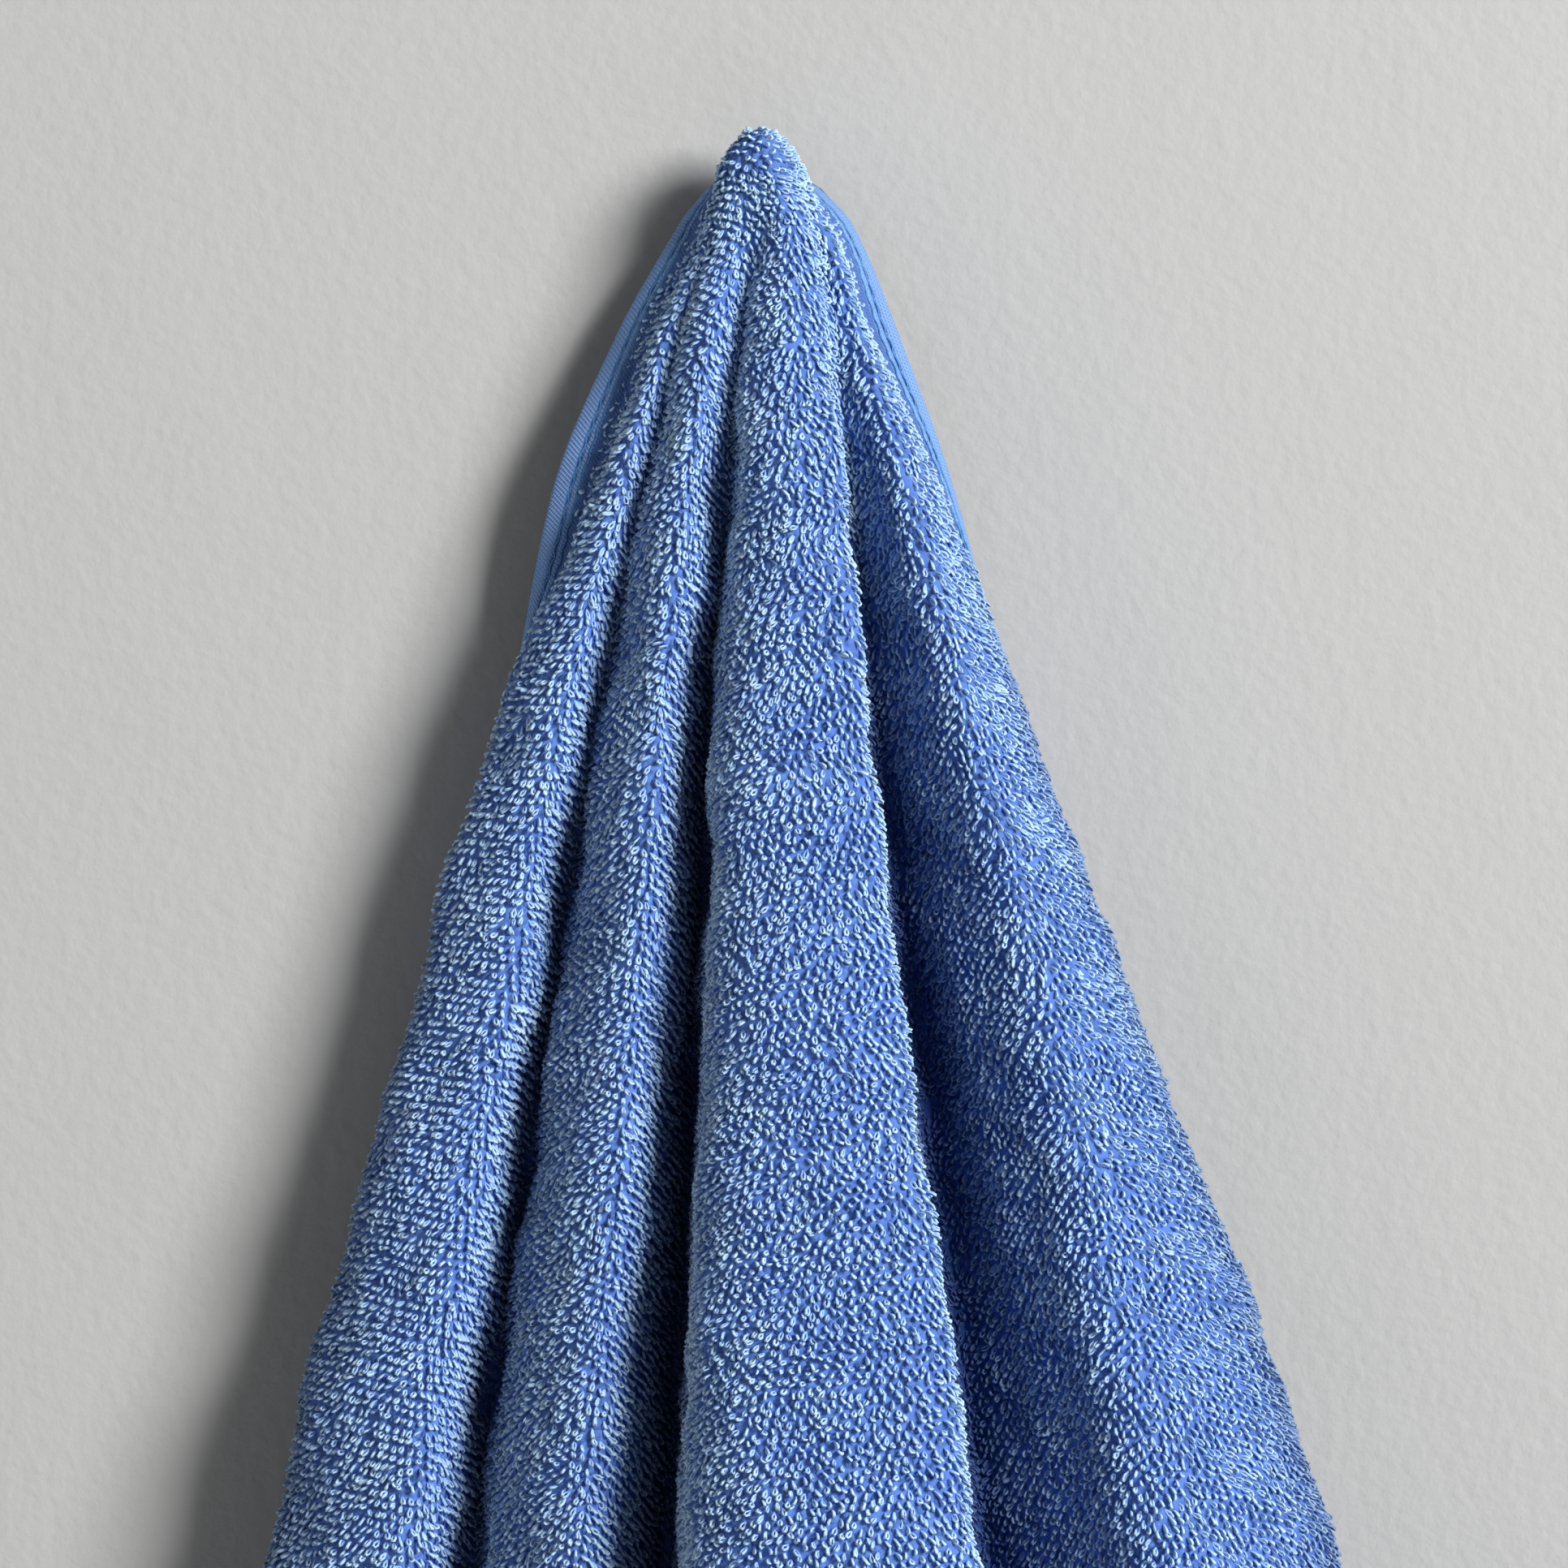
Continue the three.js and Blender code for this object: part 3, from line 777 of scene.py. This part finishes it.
# The whole cloth: its middle row by row, then a front and a back face on both sides of it, and the rim
def makeSheet():
    level, share, radius, turn, edge = sheetRows()
    points = drapePoint(level, share)
    capRows = len(sheet["capRadii"])
    columns = points.shape[1]
    peak = np.array([[drape["capX"], -drape["capOut"], drape["hangHeight"]]])
    none = np.zeros(1)
    parts = [(peak, none, none, none + drape["catchInset"], none)]
    rings, start = [], 1
    for index, row in enumerate(points):
        # painted shade in the creases, carried to the cloth's colour
        creaseShade = creaseShadingAt(level[index], share[index])
        parts.append((row, radius[index], turn[index], edge[index], creaseShade))
        count = columns
        if index < capRows:
            behind, behindTurn = flapPoints(row, level[index][0])
            behindRadius = np.full(len(behind), radius[index][0])
            behindEdge = hemDistance(behindRadius, behindTurn)
            parts.append((behind, behindRadius, behindTurn, behindEdge, 0 * behindTurn))
            count += len(behind)
        rings.append(np.arange(start, start + count))
        start += count
    place, radii, turns, edges, creaseShades = (np.concatenate(values) for values in zip(*parts))
    edges = np.maximum(edges, 0)

    faces = []
    for index in range(len(rings) - 1):
        closed = index + 1 < capRows
        upper, lower = rings[index], rings[index + 1]
        count = len(upper) if closed else columns - 1
        here = np.arange(count)
        following = (here + 1) % len(upper) if closed else here + 1
        quads = [upper[here], lower[here], lower[following], upper[following]]
        faces.append(np.stack(quads, 1))
    faces = np.concatenate(faces)
    first = rings[0]
    fan = np.stack([np.zeros(len(first), int), first, np.roll(first, -1)], 1)

    triangles = np.concatenate([faces[:, [0, 1, 2]], faces[:, [0, 2, 3]], fan])
    normals = pointNormals(place, triangles)
    pile = pileShare(edges, radii)
    swelling = swell(radii, turns) * smoothStep(*sheet["swellFrom"], edges)
    place = place + normals * (swelling - sheet["pileDepth"] * pile)[:, None]
    normals = pointNormals(place, triangles)
    inner = sheet["terryHalf"] + (sheet["groundHalf"] - sheet["terryHalf"]) * pile
    half = hemHalf(edges) + (inner - hemHalf(edges)) * smoothStep(*sheet["terryHalfFrom"], edges)
    half = half * np.where(radii < sheet["topRadius"], sheet["topThinning"], 1)

    lastClosed = rings[capRows - 1]
    rim = np.concatenate([
        [ring[0] for ring in rings[capRows - 1:-1]],
        rings[-1],
        [ring[columns - 1] for ring in rings[capRows - 1:-1]][::-1],
        lastClosed[columns:],
    ]).astype(int)
    shift = len(place)
    whole = np.concatenate([place + normals * half[:, None], place - normals * half[:, None]])
    nextRim = np.roll(rim, -1)
    rimFaces = np.stack([rim, rim + shift, nextRim + shift, nextRim], 1)
    back = np.stack([faces[:, 0], faces[:, 3], faces[:, 2], faces[:, 1]], 1) + shift
    quads = np.concatenate([faces, back, rimFaces])
    fans = np.concatenate([fan, fan[:, ::-1] + shift])

    along, across = flatPlace(radii, turns)
    flat = np.stack([along, across, 0 * along], 1)
    numbers = {
        "flat": np.concatenate([flat, flat + sheet["backGrain"]]),
        "edge": np.concatenate([edges, edges]),
        "pile": np.concatenate([pile, 0 * pile]),
        "creaseShade": np.concatenate([creaseShades, 0 * creaseShades]),
    }
    return whole, quads, fans, numbers


def buildTowel():
    points, quads, fans, numbers = makeSheet()
    triangles = np.concatenate([quads[:, [0, 1, 2]], quads[:, [0, 2, 3]], fans])
    towel = makeMesh("towel_cloth", points, triangles, numbers)
    towel.data.materials.append(clothFinish())
    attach(towel, "root")
    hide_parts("towel")
    return towel


# The pile: loops of yarn that stand on the cloth in the rows of its weave, lean downwards, and turn and
# lean alike in patches. Each loop lies in the plane of its row, give or take. Angles are in degrees.
pile = {
    "rowGap": 1.4,
    "loopGap": 1.36,
    "jitter": 0.14,
    "margin": 11,
    "edgeFrom": 5.8,
    "edgeFade": (-1, 5),
    "edgeHeight": 0.6,
    "widestTurn": 125,
    "reach": (240, 258),
    "height": (1.05, 1.5),
    "halfWidth": (0.24, 0.36),
    "yarnRadius": (0.22, 0.28),
    "rooted": 0.15,
    "twist": 0.5,
    "curl": (0.0, 0.4),
    "lean": 40,
    "patchLean": 6,
    "patchTurn": 10,
    "looseLean": 9,
    "looseTurn": 18,
    "loosePlane": 28,
    "patchSize": 13,
    "turnSeed": 11,
    "leanSeed": 12,
    "toneSeed": 13,
    "patchTone": 0.18,
    "looseTone": 0.22,
    "topTurn": 50,
    "topRadii": (8, 26),
    "topHeight": 0.75,
    "upperLean": 11,
    "upperRadii": (60, 150),
    "sides": 3,
}
# Height and width of a loop along its yarn, as shares of its own height and half width
loopSteps = np.array([0.0, 0.62, 1.0, 1.0, 0.62, 0.0])
loopWidths = np.array([0.15, 1.0, 0.55, -0.55, -1.0, -0.15])
tubeStart = [0.3, 0.1, 0.2]


# Yarn along each path: rings of points that are carried on without a twist
def tubes(paths, radii, sides):
    count, steps = paths.shape[:2]
    tangents = unit(np.gradient(paths, axis=1))
    normal = unit(np.cross(tangents[:, 0], np.roll(tangents[:, 0], 1, axis=-1) + tubeStart))
    rings = np.zeros((count, steps, sides, 3))
    for step in range(steps):
        tangent = tangents[:, step]
        normal = unit(normal - (normal * tangent).sum(-1, keepdims=True) * tangent)
        other = np.cross(tangent, normal)
        for side in range(sides):
            angle = 2 * math.pi * side / sides
            around = normal * math.cos(angle) + other * math.sin(angle)
            rings[:, step, side] = paths[:, step] + around * radii[:, step, None]
    index = np.arange(count * steps * sides).reshape(count, steps, sides)
    following = np.roll(index, -1, axis=2)
    quads = [index[:, :-1], following[:, :-1], following[:, 1:], index[:, 1:]]
    return rings.reshape(-1, 3), np.stack(quads, -1).reshape(-1, 4)


def turned(vector, axis, angle):
    angle = angle[:, None]
    along = (vector * axis).sum(-1, keepdims=True) * axis
    return vector * np.cos(angle) + np.cross(axis, vector) * np.sin(angle) + along * (1 - np.cos(angle))


# Where the loops stand, in radius and turn: rows of the weave, every other one set over by half a gap
def standingSpots():
    rows, columns = (
        np.arange(int(pile["reach"][1] / pile[gap]) + 2 * pile["margin"]) - pile["margin"]
        for gap in ("rowGap", "loopGap")
    )
    row, column = np.meshgrid(rows, columns, indexing="ij")
    along = row * pile["rowGap"] + random.normal(0, pile["jitter"], row.shape)
    across = (column + 0.5 * (row % 2)) * pile["loopGap"] + random.normal(0, pile["jitter"], row.shape)
    radius, turn = np.hypot(along, across).ravel(), (np.arctan2(across, along) - math.pi / 4).ravel()
    edge = hemDistance(radius, turn)
    keep = random.random(len(radius)) > smoothStep(*pile["reach"], radius)
    inside = np.abs(turn) < hemTurn(radius)
    inside = inside & (np.abs(turn) < math.radians(pile["widestTurn"]))
    chosen = keep & inside & (edge > pile["edgeFrom"])
    return radius[chosen], turn[chosen], edge[chosen]


def buildPile(material):
    radius, turn, edge = standingSpots()
    point, out, down, side = surfaceAt(radius, turn)
    count = len(radius)
    along, across = flatPlace(radius, turn)
    size = pile["patchSize"]
    top = 1 - smoothStep(*pile["topRadii"], radius)
    heading = waves(pile["turnSeed"], size, along, across) * math.radians(pile["patchTurn"])
    heading += random.normal(0, math.radians(pile["looseTurn"]), count)
    heading += math.radians(pile["topTurn"]) * top
    patchLean = waves(pile["leanSeed"], size, along, across) * math.radians(pile["patchLean"])
    lean = math.radians(pile["lean"]) + patchLean
    lean += random.normal(0, math.radians(pile["looseLean"]), count)
    lean += math.radians(pile["upperLean"]) * (1 - smoothStep(*pile["upperRadii"], radius))
    leaning = turned(down, out, heading)
    stand = unit(out * np.cos(lean)[:, None] + leaning * np.sin(lean)[:, None])
    rowTurn = (math.pi / 4 - turn)[:, None]
    rowWay = down * np.cos(rowTurn) + side * np.sin(rowTurn)
    sidewise = unit(rowWay - stand * (rowWay * stand).sum(-1, keepdims=True))
    sidewise = turned(sidewise, stand, random.normal(0, math.radians(pile["loosePlane"]), count))
    flatwise = np.cross(sidewise, stand)

    full = smoothStep(*(pile["edgeFrom"] + step for step in pile["edgeFade"]), edge)
    height = random.uniform(*pile["height"], count)
    height *= pile["edgeHeight"] + (1 - pile["edgeHeight"]) * full
    height *= 1 - (1 - pile["topHeight"]) * top
    halfWidth = random.uniform(*pile["halfWidth"], count)
    yarn = random.uniform(*pile["yarnRadius"], count)
    twist = random.normal(0, pile["twist"], count)
    curl = random.uniform(*pile["curl"], count)
    sunk = sheet["pileDepth"] * pileShare(edge, radius) - swell(radius, turn)
    base = point - out * (sunk - sheet["groundHalf"] + pile["rooted"])[:, None]

    paths = np.zeros((count, len(loopSteps), 3))
    for index, (step, width) in enumerate(zip(loopSteps, loopWidths)):
        angle = (twist * step)[:, None]
        spread = sidewise * np.cos(angle) + flatwise * np.sin(angle)
        rise = (height * step)[:, None]
        bent = (curl * step * step)[:, None]
        paths[:, index] = base + stand * rise + leaning * bent + spread * (width * halfWidth)[:, None]
    radii = np.repeat(yarn[:, None], len(loopSteps), 1)
    tone = 0.5 + pile["patchTone"] * waves(pile["toneSeed"], size, along, across)
    tone = np.clip(tone + random.normal(0, pile["looseTone"], count), 0, 1)
    # painted shade in the creases, carried to the yarn's colour
    creaseShade = creaseShadingAt(levelAt(radius), shareAt(radius, turn))

    names = ["first", "second", "third", "fourth", "fifth"]
    each = len(loopSteps) * pile["sides"]
    pieces = []
    for name, group in zip(names, np.array_split(np.argsort(turn), len(names))):
        points, quads = tubes(paths[group], radii[group], pile["sides"])
        # The share along each loop paints highlight at its tip and shade at its root; the crease number
        # paints shade in the creases
        numbers = {
            "tone": np.repeat(tone[group], each),
            "tipHighlight": np.tile(np.repeat(loopSteps, pile["sides"]), len(group)),
            "creaseShade": np.repeat(creaseShade[group], each),
        }
        piece = makeMesh(f"pile_{name}", points, quads, numbers)
        piece.data.materials.append(material)
        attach(piece, "root")
        pieces.append(piece)
    print(f"{count} loops")
    return pieces


# Hem stitching: two wavy threads along each side hem. A line is its distance in from the edge, its sway,
# its period and the thread's radius.
stitching = {
    "lines": [(3.4, 0.24, 3.0, 0.17), (4.85, 0.2, 3.3, 0.15)],
    "drift": 0.06,
    "driftPace": 0.37,
    "lift": 0.05,
    "dip": 0.09,
    "sides": 4,
    "step": 0.6,
    "from": 13.0,
    "to": 240,
}


def hemPoint(side, distance, radius):
    turn = np.arcsin(np.clip((distance - drape["catchInset"]) / radius, -1, 1)) - math.pi / 4
    return surfaceAt(radius, turn if side == "left" else -turn)


def buildStitching(material):
    paths, radii = [], []
    for side in ("left", "right"):
        for inset, sway, period, thick in stitching["lines"]:
            radius = np.arange(stitching["from"], stitching["to"], stitching["step"])
            wave = 2 * math.pi * radius / period
            drift = stitching["drift"] * np.sin(wave * stitching["driftPace"])
            distance = inset + sway * np.sin(wave) + drift
            point, out, _, _ = hemPoint(side, distance, radius)
            height = hemHalf(distance) + stitching["lift"] + stitching["dip"] * np.cos(wave * 2)
            paths.append(point + out * height[:, None])
            radii.append(np.full(len(radius), thick))
    points, quads = tubes(np.array(paths), np.array(radii), stitching["sides"])
    threads = makeMesh("hem_stitching", points, quads)
    threads.data.materials.append(material)
    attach(threads, "root")
    return threads


# Stage: a pale backdrop that only its front shows, a pale floor, one large soft light and a weak fill.
# A grain or swell is a noise's scale and detail, and a bump its distance and strength.
stage = {
    "backdrop": 4.0,
    "backdropBehind": 0.0004,
    "floor": -1.6,
    "backdropColour": (0.535, 0.535, 0.525, 1),
    "backdropGrain": (420.0, 3.0),
    "backdropSwell": (28.0, 4.0),
    "backdropGrainShare": 0.35,
    "backdropBump": (0.0012, 0.5),
    "floorColour": (0.7, 0.7, 0.69, 1),
    "floorRoughness": 0.85,
    "floorGrain": (60.0, 3.0),
    "floorBump": (0.0005, 0.3),
    "worldColour": (1.0, 0.98, 0.95, 1),
    "worldStrength": 0.053,
    "keyFrom": (1.76, -1.86, 0.75),
    "keySize": 1.0,
    "keyPower": 95,
    "fillFrom": (-2.27, -1.06, 0.3),
    "fillSize": 2.0,
    "fillPower": 9,
    "aim": (0, 0, -0.08),
}


def backdropFinish():
    finish = Finish("pale backdrop")
    where = finish.where()
    grain = finish.noise(where, *stage["backdropGrain"])
    broad = finish.noise(where, *stage["backdropSwell"])
    bump = finish.bump(grain * stage["backdropGrainShare"] + broad, *stage["backdropBump"])
    paint = finish.node(
        "ShaderNodeBsdfDiffuse", None, {"Color": stage["backdropColour"], "Normal": bump}
    )
    clear = finish.node("ShaderNodeBsdfTransparent")
    behind = finish.node("ShaderNodeNewGeometry", output="Backfacing")
    shown = finish.node("ShaderNodeMixShader", None, {0: behind, 1: paint, 2: clear})
    finish.node("ShaderNodeOutputMaterial", None, {"Surface": shown})
    return finish.material


def floorFinish():
    finish = Finish("pale floor")
    grain = finish.noise(finish.where(), *stage["floorGrain"])
    return finish.surface(
        Base_Color=stage["floorColour"],
        Roughness=stage["floorRoughness"],
        Normal=finish.bump(grain, *stage["floorBump"]),
    )


def plane(name, corners, material):
    piece = makeMesh(name, np.array(corners) / mm, [[0, 1, 2, 3]], smooth=False)
    piece.data.materials.append(material)
    return piece


def aimed(direction):
    return Vector(direction).to_track_quat("-Z", "Y").to_euler()


def buildStage():
    wide, low, back = stage["backdrop"], stage["floor"], stage["backdropBehind"]
    corners = [(-wide, back, low), (wide, back, low), (wide, back, wide), (-wide, back, wide)]
    plane("backdrop", corners, backdropFinish())
    ground = [(-wide, -wide, low), (wide, -wide, low), (wide, wide, low), (-wide, wide, low)]
    plane("floor", ground, floorFinish())

    for name in ("key", "fill"):
        light = bpy.data.lights.new(f"{name} light", "AREA")
        light.energy = stage[f"{name}Power"]
        light.size = stage[f"{name}Size"]
        lamp = bpy.data.objects.new(f"{name} light", light)
        bpy.context.scene.collection.objects.link(lamp)
        lamp.location = stage[f"{name}From"]
        lamp.rotation_euler = aimed(np.subtract(stage["aim"], stage[f"{name}From"]))

    world = bpy.data.worlds.new("studio")
    bpy.context.scene.world = world
    world.use_nodes = True
    background = world.node_tree.nodes["Background"]
    background.inputs["Color"].default_value = stage["worldColour"]
    background.inputs["Strength"].default_value = stage["worldStrength"]
    bpy.context.scene.view_settings.view_transform = "Standard"


camera = {"x": 3.9, "y": -1220, "z": -53.4, "lens": 178.9, "nearest": 0.01}


def buildCamera():
    data = bpy.data.cameras.new("camera")
    data.lens = camera["lens"]
    data.clip_start = camera["nearest"]
    view = bpy.data.objects.new("camera", data)
    view.location = (camera["x"] * mm, camera["y"] * mm, camera["z"] * mm)
    view.rotation_euler = (math.radians(90), 0, 0)
    bpy.context.scene.collection.objects.link(view)
    bpy.context.scene.camera = view


buildCamera()
buildStage()
report("stage")
towel = buildTowel()
report("cloth")
yarn = yarnFinish()
loops = buildPile(yarn)
report("pile")
threads = buildStitching(threadFinish())
report("stitching")
steel = metalFinish()
for node in ("hook_rod", "wall_plate"):
    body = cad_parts[node]
    body.data.materials.clear()
    body.data.materials.append(steel)
